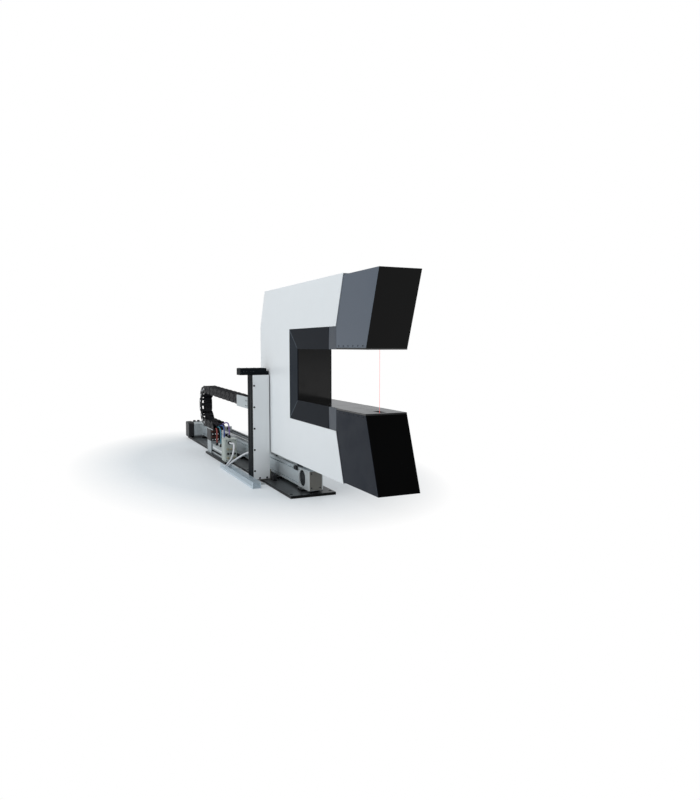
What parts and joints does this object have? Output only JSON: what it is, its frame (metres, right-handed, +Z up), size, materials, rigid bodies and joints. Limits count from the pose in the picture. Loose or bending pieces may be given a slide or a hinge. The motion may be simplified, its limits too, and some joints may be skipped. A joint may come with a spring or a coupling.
{
  "type": "laser thickness gauge",
  "caption": "C-frame gauge with a laser head above and below its gap, on a belt-driven linear module with an energy chain and a reference post.",
  "frame": {"origin": "middle of the base plate's underside lengthwise, below the mid-plane of the C-frame", "axes": "+X along the module towards the nose of the heads, +Y away from the energy chain's side, +Z up"},
  "size_m": [3.5674, 0.386, 1.1295],
  "materials": {
    "base_black": "satin black paint",
    "profile_aluminium": "natural anodised",
    "machined_aluminium": "fine milled",
    "steel": "ground",
    "cover_white": "light grey-white powder coat",
    "anthracite": "anthracite powder coat",
    "dark_plate": "dark grey paint",
    "post_grey": "light grey powder coat",
    "motor_grey": "light grey paint",
    "black_plastic": "matt black",
    "grey_plastic": "matt light grey",
    "belt_rubber": "matt",
    "window_glass": "clear, coated",
    "purple_jacket": "matt",
    "blue_jacket": "matt",
    "teal_jacket": "matt",
    "red_jacket": "matt",
    "grey_jacket": "matt"
  },
  "bodies": {
    "base": {"base_plate": "base_black", "module_feet": "machined_aluminium", "module_profile": "profile_aluminium", "front_pulley_housing": "machined_aluminium", "rear_pulley_housing": "machined_aluminium", "shaft_bearings": "steel", "drive_belt": "belt_rubber", "front_end_plate": "machined_aluminium", "front_cover": "dark_plate", "motor_flange": "machined_aluminium", "motor_body": "motor_grey", "motor_end_cap": "black_plastic", "guide_rails": "steel", "travel_stops": "machined_aluminium", "limit_switches": "black_plastic", "post_foot": "dark_plate", "post_profile": "anthracite", "post_panel": "post_grey", "reference_carrier": "black_plastic", "chain_lower_run": "black_plastic", "chain_fixed_fork": "black_plastic", "chain_stand": "post_grey", "clamp_block": "black_plastic", "valve_block": "grey_plastic", "terminal_box": "grey_plastic", "cable_inlets": "black_plastic", "lead_plugs": "black_plastic", "cable_duct": "grey_plastic", "purple_lead": "purple_jacket", "blue_lead": "blue_jacket", "teal_lead": "teal_jacket", "red_lead": "red_jacket", "grey_cable": "grey_jacket", "post_cable": "grey_jacket"},
    "carriage": {"carriage_plate": "machined_aluminium", "guide_blocks": "steel", "belt_clamp": "machined_aluminium", "frame_core": "machined_aluminium", "core_spacers": "machined_aluminium", "edge_casing": "cover_white", "side_cover_near": "cover_white", "side_cover_far": "cover_white", "throat_surrounds": "anthracite", "neck_panels": "anthracite", "throat_liner": "anthracite", "upper_head_shell": "anthracite", "lower_head_shell": "anthracite", "upper_window_plate": "black_plastic", "lower_window_plate": "black_plastic", "window_glasses": "window_glass", "laser_sensors": "black_plastic", "sensor_brackets": "machined_aluminium", "chain_upper_run": "black_plastic", "chain_moving_fork": "black_plastic", "tow_arm": "post_grey"},
    "bend": {"chain_bend": "black_plastic"},
    "idler": {"idler_pulley": "machined_aluminium", "idler_shaft": "steel"},
    "drive": {"drive_pulley": "machined_aluminium", "drive_shaft": "steel"}
  },
  "joints": [
    {"name": "carriage_slide", "type": "slide", "parent": "base", "child": "carriage", "axis": [1, 0, 0], "range_m": [-1.2, 0]},
    {"name": "chain_bend_slide", "type": "slide", "parent": "base", "child": "bend", "axis": [1, 0, 0], "range_m": [-0.6, 0], "deforming": ["chain_upper_run", "chain_lower_run"]},
    {"name": "idler_turn", "type": "hinge", "parent": "base", "child": "idler", "pos_m": [1.22, 0, 0.083], "axis": [0, 1, 0], "range_deg": [-1463, 0]},
    {"name": "drive_turn", "type": "hinge", "parent": "base", "child": "drive", "pos_m": [-1.26, 0, 0.083], "axis": [0, 1, 0], "range_deg": [-1463, 0]}
  ],
  "couplings": [
    {"joint": "chain_bend_slide", "follows": "carriage_slide", "ratio": 0.5},
    {"joint": "idler_turn", "follows": "carriage_slide", "rad_per_m": 21.277},
    {"joint": "drive_turn", "follows": "carriage_slide", "rad_per_m": 21.277}
  ]
}
